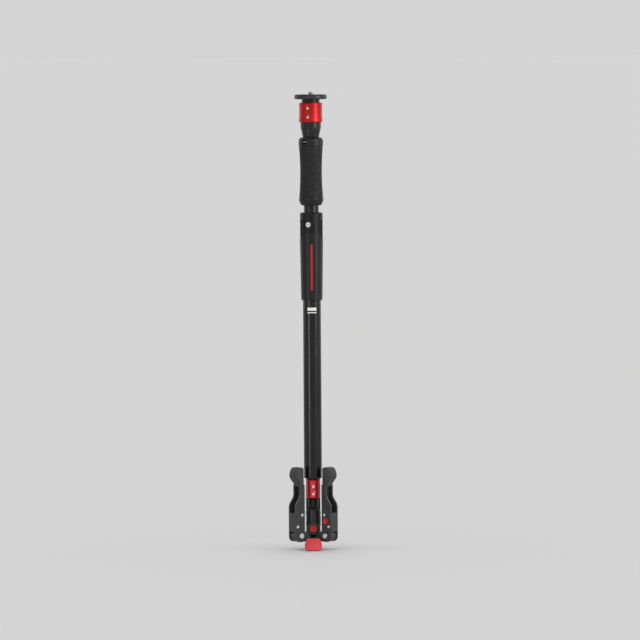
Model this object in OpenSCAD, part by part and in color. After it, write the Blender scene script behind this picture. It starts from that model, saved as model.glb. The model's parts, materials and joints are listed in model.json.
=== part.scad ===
// Video monopod: a two-section column, a quick release at each end and a folding three-foot base.
// Millimetres. The column stands along +Z on the ground, the lock pedal faces -Y,
// and the feet are folded up against the column.

/* [Camera plate] */
// across the camera plate
plate_d = 65; // [58:0.5:70]
// thickness of the plate
plate_t = 8; // [6:0.25:9]
// thickness of the rubber facing on the plate
facing_t = 1.5; // [1:0.1:2]
// neck between the collar and the plate
neck_h = 7; // [6:0.25:10]
// camera screw, 3/8 inch
stud_d = 9.525; // [6.35:0.025:9.525]
// how far the camera screw stands above the facing
stud_reach = 5; // [4.5:0.25:8]

/* [Head release] */
// outside of the head's release collar
head_collar_d = 46.4; // [45.6:0.1:48]
// height of the head's release collar
head_collar_h = 39; // [36:0.5:42]
// spigot under the camera plate
head_spigot_d = 26; // [25:0.1:26.4]
// locking ball of the head
head_ball_d = 6.5; // [6.2:0.1:6.8]
// straight part of the head socket below the collar
head_shoulder_h = 12; // [9:0.5:14]
// tapered part of the head socket
head_taper_h = 18; // [14:0.5:22]

/* [Grip] */
// length of the rubber sleeve
grip_len = 102; // [90:1:120]
// sleeve at its ends
grip_end_d = 47.6; // [46:0.2:48.4]
// sleeve at its waist
grip_waist_d = 43.2; // [41:0.2:45]
// largest diameter of the rings above and below the sleeve
grip_ring_d = 48.8; // [48.4:0.1:50]
// height of the ring above the sleeve
grip_top_h = 18; // [17:0.25:22]
// height of the ring below the sleeve
grip_bottom_h = 16; // [12:0.25:20]
// round recess of the strap bar
strap_recess_d = 10; // [9:0.25:11]
// strap bar
strap_bar_d = 2.6; // [2:0.1:3]

/* [Column] */
// outside of the lower tube
lower_tube_d = 36; // [35.6:0.1:36.4]
// wall of the lower tube
lower_tube_wall = 1.6; // [1.3:0.1:1.7]
// length of the lower tube
lower_tube_len = 486; // [470:2:520]
// outside of the upper tube
upper_tube_d = 30; // [29.6:0.1:30.2]
// wall of the upper tube
upper_tube_wall = 1.5; // [1.2:0.1:2]
// upper tube left showing when the column is pushed in
mast_gap = 14; // [8:0.5:20]
// bush on the lower end of the upper tube
slide_bush_len = 40; // [30:1:40]

/* [Clamp] */
// outside of the clamp collar
clamp_d = 45.4; // [44.8:0.1:46]
// clamp collar above the end of the lower tube
clamp_rise = 43; // [41:0.5:48]
// sleeve of the clamp collar on the lower tube
clamp_sleeve = 32; // [26:0.5:40]
// lever's hinge below the top of the collar
lever_drop = 24; // [22:0.25:25]
// lever's hinge pin
lever_pin_d = 6; // [5:0.1:6.4]
// radius about the hinge at which lever and collar meet
lever_seam_r = 28; // [27.4:0.1:29]
// length of the lever from its hinge to its free end
lever_len = 151.5; // [120:0.5:170]
// lever across its top
lever_top_d = 46.6; // [45.6:0.1:47.4]
// lever across its free end
lever_end_d = 42.6; // [42.2:0.1:44]

/* [Base release] */
// outside of the base's release collar
base_collar_d = 26.4; // [25.8:0.1:27]
// height of the base's release collar
base_collar_h = 36.5; // [34:0.25:39]
// spigot on the pan hub
base_spigot_d = 11; // [10.6:0.1:11.2]
// locking ball of the base
base_ball_d = 3.6; // [3.4:0.05:3.8]
// dark neck between the collar and the lower tube
base_neck_h = 3.5; // [3.5:0.1:5]

/* [Tilt and pan] */
// tilting ball
ball_d = 22; // [20:0.25:22]
// ball's centre above the hub
ball_rise = 22; // [21.5:0.25:23]
// outside of the ball housing
housing_d = 28.8; // [28:0.1:29]
// height of the ball housing
housing_h = 43; // [42.5:0.25:43.5]
// neck of the stem above the ball
stem_d = 9; // [8:0.1:9]
// flange of the stem and pan hub above it
pan_hub_d = 20; // [19:0.1:20.4]
// height of the pan hub
pan_hub_h = 13; // [12.5:0.25:16]
// round boss on the front of the housing
boss_d = 25; // [22:0.25:25.4]

/* [Pedal] */
// hub's underside above the ground
hub_lift = 16.5; // [16:0.1:17.5]
// height of the hub
hub_h = 20; // [19.5:0.1:21]
// across the hub's core
hub_d = 32; // [31:0.25:33]
// length of the pedal's tongue
tongue_len = 33; // [28:0.25:36]
// thickness of the tongue
tongue_t = 5; // [4:0.1:5.4]
// width of the tongue at its root
tongue_root_w = 25; // [22:0.25:25.5]
// width of the tongue at its widest
tongue_w = 34.5; // [31:0.25:35]
// slope of the tongue, degrees
tongue_slope = 40; // [38:0.5:42]

/* [Feet] */
// width of a foot
foot_w = 28.4; // [27.6:0.1:29]
// side wall of a foot
foot_wall = 4.5; // [3.5:0.1:5]
// inner face of a folded foot, from the column's axis
foot_inner = 27.4; // [26.8:0.1:28]
// outer face of the heel, from the axis
heel_outer = 48.4; // [47:0.1:50]
// outer face of the waist, from the axis
waist_outer = 37.6; // [36.6:0.1:39]
// foot's pivot, from the axis
pivot_out = 35; // [34.5:0.1:35.6]
// foot's pivot above the hub's underside
pivot_rise = 12; // [11.6:0.1:12.2]
// pivot bolt
bolt_d = 6; // [5:0.1:6.4]
// head of the pivot bolt
bolt_head_d = 10.4; // [9:0.1:11]
// top of the heel above the hub's underside
heel_h = 70; // [66:0.5:76]
// top of the arm above the hub's underside
foot_h = 114; // [108:0.5:124]
// height of the rubber pad
pad_h = 35; // [30:0.5:38]
// pad's outermost point from the axis
pad_outer = 48.8; // [48:0.1:50.4]
// small screw heads on the sides of a foot
screw_head_d = 5.6; // [4.6:0.1:6]

/* [Hidden] */
// node to build, or all of them
$fn = 96;
eps = 0.5;

// clearances: between bodies that move, of a running shaft, and between pieces that stay together
run_gap = 0.3;
shaft_gap = 0.08;
fit_gap = 0.05;

// colours
black = [0.13, 0.13, 0.14];
rubber_black = [0.08, 0.08, 0.085];
red = [0.68, 0.13, 0.12];
pedal_red = [0.82, 0.3, 0.3];
steel = [0.72, 0.72, 0.72];
nylon = [0.35, 0.35, 0.37];

// azimuths of the feet
left_az = 210;
right_az = 330;
rear_az = 90;

// how far a collar is pulled back to let its balls go
head_pull = 5;
base_pull = 3.2;

// release: [collar radius, collar height, spigot radius, socket wall,
//   ball, collar wall, spigot length, balls, pull]
head_release = [
  head_collar_d / 2, head_collar_h, head_spigot_d / 2, 4.8,
  head_ball_d, 2.6, 32, 6, head_pull
];
base_release = [
  base_collar_d / 2, base_collar_h, base_spigot_d / 2, 2.4,
  base_ball_d, 2.1, 30, 5, base_pull
];
rim_h = 2.3;
stop_t = 1.5;
clip_t = 1.2;
clip_deep = 0.7;
clip_out = 1.3;
clip_open = 30;
land_over = 1.2;
end_inset = 1;
edge = 1.2;

function collar_r(q) = q[0];
function collar_h(q) = q[1];
function spigot_r(q) = q[2];
function bore_r(q) = q[2] + fit_gap;
function barrel_r(q) = bore_r(q) + q[3];
function ball_r(q) = q[4] / 2;
function ball_ring_r(q) = barrel_r(q) - ball_r(q);
function chamber_r(q) = q[0] - q[5];
function shoulder_r(q) = chamber_r(q) - run_gap;
function relief_r(q) = barrel_r(q) + run_gap + max(clip_out, q[4] - q[3]);
function clip_z(q) = q[1] - rim_h - clip_t;
function stop_z1(q) = clip_z(q) - run_gap;
function stop_z0(q) = stop_z1(q) - stop_t;
function ball_z_of(q) = stop_z0(q) - q[8] - run_gap - ball_r(q);
function land_z0(q) = ball_z_of(q) - ball_r(q);
function land_z1(q) = ball_z_of(q) + land_over;
function barrel_end(q) = q[1] - end_inset;
function spigot_end(q) = barrel_end(q) - q[6];

// heights of the base, from the ground up
hub_top = hub_lift + hub_h;
pivot_z = hub_lift + pivot_rise;
ball_z = hub_top + ball_rise;
housing_top = hub_top + housing_h;
tilt_max = 18;
stem_flange_z = ball_z + 24.5;
stem_top = stem_flange_z + 5.5;
washer_t = 0.8;
pan_gap = 0.1;
pan_hub_z = stem_top + washer_t + pan_gap;
pan_hub_top = pan_hub_z + pan_hub_h;
base_shoulder = pan_hub_top + run_gap + collar_h(base_release);

// heights of the column
socket_flange_t = 3;
tube_z0 = base_shoulder + base_neck_h + socket_flange_t;
tube_z1 = tube_z0 + lower_tube_len;
plug_len = 28;
clamp_top = tube_z1 + clamp_rise;
lever_z = clamp_top - lever_drop;
lever_end = lever_z - lever_len;
grip_z0 = clamp_top + mast_gap;
sleeve_z0 = grip_z0 + grip_bottom_h;
sleeve_z1 = sleeve_z0 + grip_len;
grip_z1 = sleeve_z1 + grip_top_h;
head_shoulder = grip_z1 + head_taper_h + head_shoulder_h;
neck_z = head_shoulder + barrel_end(head_release);
plate_z = neck_z + end_inset + neck_h;
facing_z = plate_z + plate_t;
stud_top = facing_z + facing_t + stud_reach;
upper_z0 = tube_z0 + plug_len + 12;
upper_r = upper_tube_d / 2;
upper_in = upper_r - upper_tube_wall;
lower_r = lower_tube_d / 2;
lower_in = lower_r - lower_tube_wall;
clamp_r = clamp_d / 2;

// shapes that repeat

module ring(r0, r1, z0, z1) {
  rotate_extrude()
    translate([r0, z0])
      square([r1 - r0, z1 - z0]);
}

module rod_x(r, x0, x1, z) {
  translate([x0, 0, z])
    rotate([0, 90, 0])
      cylinder(r = r, h = x1 - x0);
}

// an outline drawn in (y, z), given a width along X
module across(w) {
  translate([-w / 2, 0, 0])
    rotate([90, 0, 90])
      linear_extrude(height = w)
        children();
}

// an outline drawn in (radius, z) of a foot, given a width along the foot's own Y
module along_foot(w) {
  translate([0, w / 2, 0])
    rotate([90, 0, 0])
      linear_extrude(height = w)
        children();
}

// something that points outwards from the axis at an azimuth and a height
module outward(az, z) {
  translate([0, 0, z])
    rotate([0, 0, az])
      rotate([0, 90, 0])
        children();
}

module mirrored_x() {
  children();
  mirror([1, 0, 0])
    children();
}

module mirrored_y() {
  children();
  mirror([0, 1, 0])
    children();
}

module at_foot(az) {
  rotate([0, 0, az])
    children();
}

// coil springs: one tube whose rings follow a helix
coil_rings = 12;
coil_sides = 6;

// the rings' centres stand a little outside r, so that the chords between them stay round it
function coil_point(i, turns, h, r, wire) =
  let (t = i / coil_rings, out = r / cos(90 / coil_rings))
    [out * cos(360 * t), out * sin(360 * t), wire / 2 + (h - wire) * t / turns];
function coil_gap(turns, h, r, wire) = min([
  for (i = [0 : coil_rings * (turns - 1)])
    norm(coil_point(i + coil_rings, turns, h, r, wire) - coil_point(i, turns, h, r, wire)) - wire
]);

module coil(turns, h, r, wire) {
  count = coil_rings * turns;
  points = [
    for (i = [0 : count], k = [0 : coil_sides - 1])
      let (a = 360 * i / coil_rings, b = 360 * k / coil_sides, c = coil_point(i, turns, h, r, wire))
        c + wire / 2 * [cos(b) * cos(a), cos(b) * sin(a), sin(b)]
  ];
  sides = [
    for (i = [0 : count - 1], k = [0 : coil_sides - 1], half = [0, 1])
      let (p = i * coil_sides + k, q = i * coil_sides + (k + 1) % coil_sides)
        half == 0 ? [p, q, p + coil_sides] : [q, q + coil_sides, p + coil_sides]
  ];
  last = count * coil_sides;
  caps = [
    for (k = [1 : coil_sides - 2], end = [0, 1])
      end == 0 ? [0, k + 1, k] : [last, last + k, last + k + 1]
  ];
  echo(coil_gap = coil_gap(turns, h, r, wire));
  polyhedron(points = points, faces = concat(sides, caps));
}

// quick release, its socket's shoulder at z = 0 and its spigot coming in from above

module release_collar(q, waist, flare) {
  steps = 8;
  rotate_extrude()
    difference() {
      polygon(concat(
        [[0, 0], [collar_r(q) + flare - edge, 0]],
        [for (i = [0 : steps])
          let (t = i / steps)
            [collar_r(q) + flare * (1 - t) - waist * sin(180 * t), edge + t * (collar_h(q) - 2 * edge)]],
        [[collar_r(q) - edge, collar_h(q)], [0, collar_h(q)]]
      ));
      polygon([
        [-eps, -eps], [chamber_r(q), -eps], [chamber_r(q), land_z0(q)],
        [barrel_r(q) + run_gap, land_z0(q)], [barrel_r(q) + run_gap, land_z1(q)],
        [relief_r(q), land_z1(q)], [relief_r(q), stop_z0(q)],
        [barrel_r(q) + run_gap, stop_z0(q)], [barrel_r(q) + run_gap, stop_z1(q)],
        [relief_r(q), stop_z1(q)], [relief_r(q), collar_h(q) + eps],
        [-eps, collar_h(q) + eps]
      ]);
    }
}

module release_balls(q) {
  for (i = [0 : q[7] - 1])
    rotate([0, 0, 360 * i / q[7]])
      translate([ball_ring_r(q), 0, ball_z_of(q)])
        sphere(r = ball_r(q));
}

// barrel of the socket, from its shoulder up, with the balls' holes and the clip's groove
module release_barrel(q) {
  difference() {
    translate([0, 0, -eps])
      cylinder(r = barrel_r(q), h = barrel_end(q) + eps);
    release_bore(q);
    for (i = [0 : q[7] - 1])
      outward(360 * i / q[7], ball_z_of(q))
        cylinder(r = ball_r(q) + fit_gap, h = barrel_r(q) + eps);
    ring(barrel_r(q) - clip_deep, barrel_r(q) + eps, clip_z(q) - fit_gap, clip_z(q) + clip_t + fit_gap);
  }
}

module release_bore(q) {
  translate([0, 0, spigot_end(q) - end_inset])
    cylinder(r = bore_r(q), h = collar_h(q));
}

module release_clip(q) {
  rotate([0, 0, clip_open / 2])
    rotate_extrude(angle = 360 - clip_open)
      translate([barrel_r(q) - clip_deep + fit_gap, clip_z(q)])
        square([clip_out + clip_deep - fit_gap, clip_t]);
}

module release_spigot(q) {
  rotate_extrude()
    difference() {
      polygon([
        [0, spigot_end(q)], [spigot_r(q) - edge, spigot_end(q)], [spigot_r(q), spigot_end(q) + edge],
        [spigot_r(q), barrel_end(q) + eps], [0, barrel_end(q) + eps]
      ]);
      translate([ball_ring_r(q), ball_z_of(q)])
        circle(r = ball_r(q) + fit_gap);
    }
}

spring_wire = 1.4;
spring_clear = 0.4;
function spring_r(q) = (barrel_r(q) + chamber_r(q)) / 2;
function spring_wire_of(q) = min(spring_wire, chamber_r(q) - barrel_r(q) - 2 * spring_clear);

module release_spring(q, turns) {
  translate([0, 0, fit_gap])
    coil(turns, land_z0(q) - 2 * fit_gap, spring_r(q), spring_wire_of(q));
}

module in_head() {
  translate([0, 0, head_shoulder])
    children();
}

// the base's release stands upside down
module in_base() {
  translate([0, 0, base_shoulder])
    mirror([0, 0, 1])
      children();
}

// camera plate

stud_shank_r = stud_d / 2 + 0.6;

module camera_screw() {
  tip = 0.8;
  seat_z = facing_z + facing_t;
  color(steel)
    rotate_extrude()
      polygon([
        [0, neck_z], [stud_shank_r, neck_z], [stud_shank_r, seat_z], [stud_d / 2, seat_z],
        [stud_d / 2, stud_top - tip], [stud_d / 2 - tip, stud_top], [0, stud_top]
      ]);
}

facing_inset = 1.5;

module plate_facing() {
  color(rubber_black)
    ring(stud_shank_r + fit_gap, plate_d / 2 - facing_inset, facing_z, facing_z + facing_t);
}

module camera_plate() {
  color(black)
    rotate_extrude()
      polygon([
        [stud_shank_r + fit_gap, plate_z], [plate_d / 2 - 2 * edge, plate_z],
        [plate_d / 2, plate_z + 2 * edge], [plate_d / 2, facing_z - edge / 2],
        [plate_d / 2 - edge / 2, facing_z], [stud_shank_r + fit_gap, facing_z]
      ]);
}

module head_spigot() {
  color(black)
    difference() {
      union() {
        in_head()
          release_spigot(head_release);
        translate([0, 0, neck_z])
          cylinder(r = barrel_r(head_release), h = plate_z - neck_z);
      }
      translate([0, 0, neck_z])
        cylinder(r = stud_shank_r + fit_gap, h = plate_z);
    }
}

// head release

head_waist = 0.7;
head_flare = 0.5;

module head_collar() {
  color(red)
    in_head()
      release_collar(head_release, head_waist, head_flare);
}

module head_socket() {
  shank = 36;
  groove = 0.5;
  seat_r = upper_r + 1;
  seat_z = -head_shoulder_h - head_taper_h;
  r = shoulder_r(head_release);
  color(black)
    in_head()
      difference() {
        union() {
          release_barrel(head_release);
          rotate_extrude()
            polygon([
              [0, seat_z - shank], [upper_in - fit_gap, seat_z - shank],
              [upper_in - fit_gap, seat_z], [seat_r, seat_z],
              [r - groove, -head_shoulder_h - groove], [r - groove, -head_shoulder_h],
              [r, -head_shoulder_h],
              [r, 0], [0, 0]
            ]);
        }
        release_bore(head_release);
      }
}

module head_lock_balls() {
  color(steel)
    in_head()
      release_balls(head_release);
}

module head_clip() {
  color(steel)
    in_head()
      release_clip(head_release);
}

module head_spring() {
  color(steel)
    in_head()
      release_spring(head_release, 7);
}

// grip

ring_round = 7;
strap_az = 236;
strap_z = sleeve_z1 + grip_top_h / 2;
strap_depth = 7.5;
strap_bar_len = 15;

module at_strap_bar() {
  translate([0, 0, strap_z])
    rotate([0, 0, strap_az])
      translate([grip_ring_d / 2 - 3.4, 0, 0])
        rotate([90, 0, 0])
          children();
}

module grip_top_ring() {
  tuck = 0.4;
  color(black)
    difference() {
      rotate_extrude()
        difference() {
          union() {
            translate([0, sleeve_z1])
              square([grip_ring_d / 2 - ring_round, grip_top_h]);
            translate([0, sleeve_z1 + tuck])
              square([grip_ring_d / 2, grip_top_h - ring_round - tuck]);
            translate([0, sleeve_z1])
              square([grip_ring_d / 2 - tuck, grip_top_h / 2]);
            translate([grip_ring_d / 2 - ring_round, grip_z1 - ring_round])
              circle(r = ring_round);
          }
          translate([-eps, sleeve_z1 - eps])
            square([upper_r + fit_gap + eps, grip_top_h + 2 * eps]);
        }
      outward(strap_az, strap_z)
        translate([0, 0, grip_ring_d / 2 - strap_depth])
          cylinder(d = strap_recess_d, h = strap_depth + eps);
      at_strap_bar()
        cylinder(d = strap_bar_d + 2 * fit_gap, h = strap_bar_len + 2 * fit_gap, center = true);
    }
}

module strap_bar() {
  color(steel)
    at_strap_bar()
      cylinder(d = strap_bar_d, h = strap_bar_len, center = true);
}

module grip_sleeve() {
  steps = 12;
  color(rubber_black)
    rotate_extrude()
      polygon(concat(
        [[upper_r + fit_gap, sleeve_z0]],
        [for (i = [0 : steps])
          let (t = i / steps)
            [(grip_waist_d + (grip_end_d - grip_waist_d) * pow(2 * t - 1, 2)) / 2,
              sleeve_z0 + t * grip_len]],
        [[upper_r + fit_gap, sleeve_z1]]
      ));
}

module grip_bottom_ring() {
  lip = 4;
  seat = 3.5;
  color(black)
    rotate_extrude()
      polygon([
        [upper_r + fit_gap, grip_z0], [upper_r + seat, grip_z0], [upper_r + seat + 2, grip_z0 + 1],
        [grip_ring_d / 2, sleeve_z0 - lip - 2], [grip_ring_d / 2, sleeve_z0 - edge],
        [grip_ring_d / 2 - edge / 2, sleeve_z0], [upper_r + fit_gap, sleeve_z0]
      ]);
}

// column

module upper_tube() {
  color(black)
    ring(upper_in, upper_r, upper_z0, grip_z1);
}

module slide_bush() {
  stop = 2;
  color(nylon)
    difference() {
      translate([0, 0, upper_z0 - stop])
        cylinder(r = lower_in - shaft_gap, h = slide_bush_len + stop);
      translate([0, 0, upper_z0])
        cylinder(r = upper_r + fit_gap, h = slide_bush_len + eps);
      translate([0, 0, upper_z0 - stop - eps])
        cylinder(r = upper_in, h = stop + 2 * eps);
    }
}

module upper_plug() {
  depth = 14;
  hole = 4;
  color(nylon)
    ring(hole, upper_in - fit_gap, upper_z0, upper_z0 + depth);
}

module lower_tube() {
  color(black)
    ring(lower_in, lower_r, tube_z0, tube_z1);
}

// clamp and lever

flat_x = lower_r + 1.2;
ear_half = 8;
shoe_h = 10;
shoe_half = 5;
shoe_z = lever_z - 15;
clamp_screw_az = 253.6;
clamp_screw_head = 10;
clamp_screw_d = 4;
clamp_screw_seat = clamp_r - 2.6;
bush_r = upper_r + 1;
wiper = 2;

// side view of the room that the lever's ears sweep, drawn in (y, z)
module ear_room() {
  room = ear_half + run_gap;
  translate([0, lever_z])
    circle(r = room);
  translate([-room, lever_z - lever_len])
    square([2 * room, lever_len]);
  translate([-clamp_d, lever_z - lever_len])
    square([clamp_d, lever_len + room]);
}

module clamp_collar() {
  color(black)
    difference() {
      union() {
        ring(0, flat_x, tube_z1 - clamp_sleeve, lever_z);
        rotate_extrude()
          polygon([
            [0, lever_z], [clamp_r, lever_z], [clamp_r, clamp_top - 1.5 * edge],
            [clamp_r - edge, clamp_top - edge / 2], [clamp_r - 2.5 * edge, clamp_top], [0, clamp_top]
          ]);
        intersection() {
          ring(0, clamp_r, lever_z - lever_seam_r, lever_z + eps);
          rod_x(lever_seam_r, -clamp_d, clamp_d, lever_z);
        }
      }
      translate([0, 0, tube_z1 - clamp_sleeve - eps])
        cylinder(r = lower_r + fit_gap, h = clamp_sleeve + eps);
      translate([0, 0, tube_z1 - eps])
        cylinder(r = bush_r, h = clamp_rise - wiper + eps);
      translate([0, 0, tube_z1])
        cylinder(r = upper_r + run_gap, h = clamp_rise + eps);
      mirrored_x()
        intersection() {
          translate([flat_x, -clamp_d, lever_z - lever_len])
            cube([clamp_d, 2 * clamp_d, 2 * lever_len]);
          across(2 * clamp_d)
            ear_room();
        }
      mirrored_x()
        translate([0, -shoe_half - fit_gap, shoe_z - fit_gap])
          cube([clamp_d, 2 * (shoe_half + fit_gap), shoe_h + 2 * fit_gap]);
      mirrored_x()
        rod_x(lever_pin_d / 2 + fit_gap, bush_r + 0.4, clamp_d, lever_z);
      outward(clamp_screw_az, lever_z) {
        cylinder(d = clamp_screw_d + 2 * fit_gap, h = clamp_d);
        translate([0, 0, clamp_screw_seat])
          cylinder(d = clamp_screw_head + 2 * fit_gap, h = clamp_d);
      }
    }
}

module clamp_bush() {
  foot = 17;
  color(nylon)
    ring(upper_r + shaft_gap, bush_r - fit_gap, tube_z1 + foot, clamp_top - wiper - fit_gap);
}

module clamp_screw() {
  proud = 0.4;
  slot_w = 1.4;
  slot_deep = 1;
  color(steel)
    outward(clamp_screw_az, lever_z)
      difference() {
        union() {
          translate([0, 0, bush_r + fit_gap])
            cylinder(d = clamp_screw_d, h = clamp_screw_seat - bush_r);
          translate([0, 0, clamp_screw_seat + fit_gap])
            cylinder(d = clamp_screw_head, h = clamp_r + proud - clamp_screw_seat);
        }
        translate([-slot_w / 2, -clamp_screw_head, clamp_r + proud - slot_deep])
          cube([slot_w, 2 * clamp_screw_head, 2 * slot_deep]);
      }
}

module brake_shoes() {
  color(nylon)
    mirrored_x()
      difference() {
        translate([0, -shoe_half, shoe_z])
          cube([flat_x - fit_gap, 2 * shoe_half, shoe_h]);
        translate([0, 0, shoe_z - eps])
          cylinder(r = upper_r + run_gap, h = shoe_h + 2 * eps);
      }
}

module lever_pins() {
  color(steel)
    mirrored_x()
      rod_x(lever_pin_d / 2, bush_r + 0.5, clamp_r - edge / 2, lever_z);
}

module lock_lever() {
  inner = flat_x + run_gap;
  lip_h = 6;
  lip_r = lower_r + 2 * run_gap;
  chamfer = 1.5;
  color(black)
    difference() {
      union() {
        difference() {
          rotate([0, 0, 180])
            rotate_extrude(angle = 180)
              polygon([
                [lip_r, lever_end], [lever_end_d / 2 - chamfer, lever_end],
                [lever_end_d / 2, lever_end + chamfer], [lever_top_d / 2, lever_z - lever_seam_r / 2],
                [lever_top_d / 2, lever_z], [inner, lever_z],
                [inner, lever_end + 2 * lip_h], [lip_r, lever_end + lip_h]
              ]);
          rod_x(lever_seam_r + run_gap, -clamp_d, clamp_d, lever_z);
        }
        mirrored_x()
          intersection() {
            translate([inner, -ear_half, lever_z - 1.6 * lever_seam_r])
              cube([clamp_d, 2 * ear_half, 2 * lever_seam_r]);
            translate([0, 0, lever_z - 2 * lever_seam_r])
              cylinder(r = clamp_r, h = 3 * lever_seam_r);
            across(2 * clamp_d)
              union() {
                translate([0, lever_z])
                  circle(r = ear_half);
                translate([-ear_half, lever_z - 2 * lever_seam_r])
                  square([2 * ear_half, 2 * lever_seam_r]);
              }
          }
      }
      rod_x(lever_pin_d / 2 + shaft_gap, -clamp_d, clamp_d, lever_z);
    }
}

// base release

base_waist = 0.3;
base_flare = 0;

module base_collar() {
  color(red)
    in_base()
      release_collar(base_release, base_waist, base_flare);
}

module base_socket() {
  flange = base_neck_h + socket_flange_t;
  color(black)
    in_base()
      difference() {
        union() {
          release_barrel(base_release);
          rotate_extrude()
            polygon([
              [0, 0], [shoulder_r(base_release), 0], [shoulder_r(base_release), -base_neck_h],
              [lower_r - edge, -base_neck_h], [lower_r, -base_neck_h - edge], [lower_r, -flange],
              [lower_in - fit_gap, -flange], [lower_in - fit_gap, -flange - plug_len],
              [0, -flange - plug_len]
            ]);
        }
        release_bore(base_release);
      }
}

module base_lock_balls() {
  color(steel)
    in_base()
      release_balls(base_release);
}

module base_clip() {
  color(steel)
    in_base()
      release_clip(base_release);
}

module base_spring() {
  color(steel)
    in_base()
      release_spring(base_release, 8);
}

// pan hub and stem

axle_d = 8;
axle_len = 10;
pan_screw_d = 3;
pan_screw_z = pan_hub_z + 5;
pan_groove = 0.8;

module pan_hub() {
  color(black)
    difference() {
      union() {
        translate([0, 0, pan_hub_z])
          rotate_extrude()
            polygon([
              [0, 0], [pan_hub_d / 2 - edge / 2, 0], [pan_hub_d / 2, edge / 2],
              [pan_hub_d / 2, pan_hub_h - 2 * edge],
              [barrel_r(base_release), pan_hub_h], [0, pan_hub_h]
            ]);
        translate([0, 0, pan_hub_top - eps])
          cylinder(r = barrel_r(base_release), h = run_gap + end_inset + eps);
        in_base()
          release_spigot(base_release);
      }
      translate([0, 0, pan_hub_z - eps])
        cylinder(d = axle_d + 2 * shaft_gap, h = axle_len + eps);
      outward(rear_az, pan_screw_z)
        cylinder(d = pan_screw_d + 2 * fit_gap, h = pan_hub_d);
    }
}

module pan_screw() {
  tip = axle_d / 2 - pan_groove + run_gap;
  color(steel)
    outward(rear_az, pan_screw_z)
      difference() {
        translate([0, 0, tip])
          cylinder(d = pan_screw_d, h = pan_hub_d / 2 - edge / 2 - tip);
        translate([0, 0, pan_hub_d / 2 - 2 * edge])
          cylinder(d = pan_screw_d / 2, h = pan_hub_d, $fn = 6);
      }
}

module pan_washer() {
  color(nylon)
    ring(axle_d / 2 + fit_gap, pan_hub_d / 2 - edge, stem_top, stem_top + washer_t);
}

module ball_stem() {
  groove_h = pan_screw_d + 2 * run_gap;
  color(black)
    difference() {
      union() {
        translate([0, 0, ball_z])
          sphere(d = ball_d);
        translate([0, 0, ball_z])
          cylinder(d = stem_d, h = stem_flange_z - ball_z + eps);
        translate([0, 0, stem_flange_z])
          cylinder(d1 = stem_d, d2 = pan_hub_d - edge, h = 1);
        translate([0, 0, stem_flange_z + 1])
          cylinder(d = pan_hub_d - edge, h = stem_top - stem_flange_z - 1);
        translate([0, 0, stem_top - eps])
          cylinder(d = axle_d, h = washer_t + axle_len - run_gap + eps);
      }
      ring(axle_d / 2 - pan_groove, axle_d, pan_screw_z - groove_h / 2, pan_screw_z + groove_h / 2);
    }
}

// ball housing and tilt lock

housing_r = housing_d / 2;
floor_t = 4;
retainer_z = ball_z + 2;
retainer_r = housing_r - 1.6;
cavity_r = ball_d / 2 + run_gap;
plunger_d = 12;
boss_z = hub_top + 6;
boss_front = 17.2;
boss_back = 11;
cap_t = 2;
cap_inset = 1.9;
hub_screw_d = 3;
hub_screw_x = 9.5;
hub_screw_y = 6;

module at_hub_screws() {
  mirrored_x()
    mirrored_y()
      translate([hub_screw_x, hub_screw_y, 0])
        children();
}

module boss(r, y0, y1) {
  translate([0, -y0, boss_z])
    rotate([90, 0, 0])
      cylinder(r = r, h = y1 - y0);
}

module ball_housing() {
  screw_reach = 3.2;
  color(black)
    difference() {
      union() {
        rotate_extrude()
          polygon([
            [0, hub_top], [housing_r, hub_top], [housing_r, housing_top - edge],
            [housing_r - edge / 2, housing_top], [0, housing_top]
          ]);
        boss(boss_d / 2, boss_back, boss_front);
      }
      ring(0, plunger_d / 2 + shaft_gap, hub_top - eps, hub_top + floor_t + eps);
      ring(0, cavity_r, hub_top + floor_t, retainer_z + eps);
      ring(0, retainer_r + fit_gap, retainer_z, housing_top + eps);
      boss(boss_d / 2 - cap_inset + fit_gap, boss_front - cap_t, boss_front + eps);
      at_hub_screws()
        translate([0, 0, hub_top - eps])
          cylinder(d = hub_screw_d + 2 * fit_gap, h = screw_reach + eps);
    }
}

module ball_retainer() {
  seat_r = ball_d / 2 + shaft_gap;
  mouth_r = (housing_top - ball_z) * tan(tilt_max) + stem_d / 2 / cos(tilt_max) + run_gap;
  throat_z = ball_z + 5.5;
  throat_r = sqrt(pow(seat_r, 2) - pow(throat_z - ball_z, 2));
  color(nylon)
    rotate_extrude()
      difference() {
        polygon([
          [0, retainer_z], [retainer_r, retainer_z], [retainer_r, housing_top - edge / 2],
          [max(mouth_r, retainer_r - edge / 2), housing_top], [0, housing_top]
        ]);
        translate([0, ball_z])
          circle(r = seat_r);
        polygon([
          [-eps, ball_z], [throat_r, throat_z - eps], [throat_r, throat_z],
          [mouth_r, housing_top + fit_gap], [-eps, housing_top + fit_gap]
        ]);
      }
}

seat_t = 4;
seat_wrap = 3.5;
plunger_flange_t = 2;
seat_z = ball_z - ball_d / 2 - seat_t;

module ball_seat() {
  color(nylon)
    rotate_extrude()
      difference() {
        translate([0, seat_z])
          square([cavity_r - shaft_gap, ball_d / 2 + seat_t - seat_wrap]);
        translate([0, ball_z])
          circle(r = ball_d / 2 + shaft_gap);
      }
}

// pedal: a tongue in front, and behind it an eccentric that holds the plunger up
cam_r = 6;
cam_offset = 3;
cam_lead = 60;
cam_y = cam_offset * cos(cam_lead);
pedal_pin_z = hub_lift + 6;
cam_z = pedal_pin_z + cam_offset * sin(cam_lead);
plunger_z = cam_z + cam_r + run_gap;
pedal_pin_d = 5;
pedal_arm_w = 10;
pedal_lift = 20;

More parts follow.
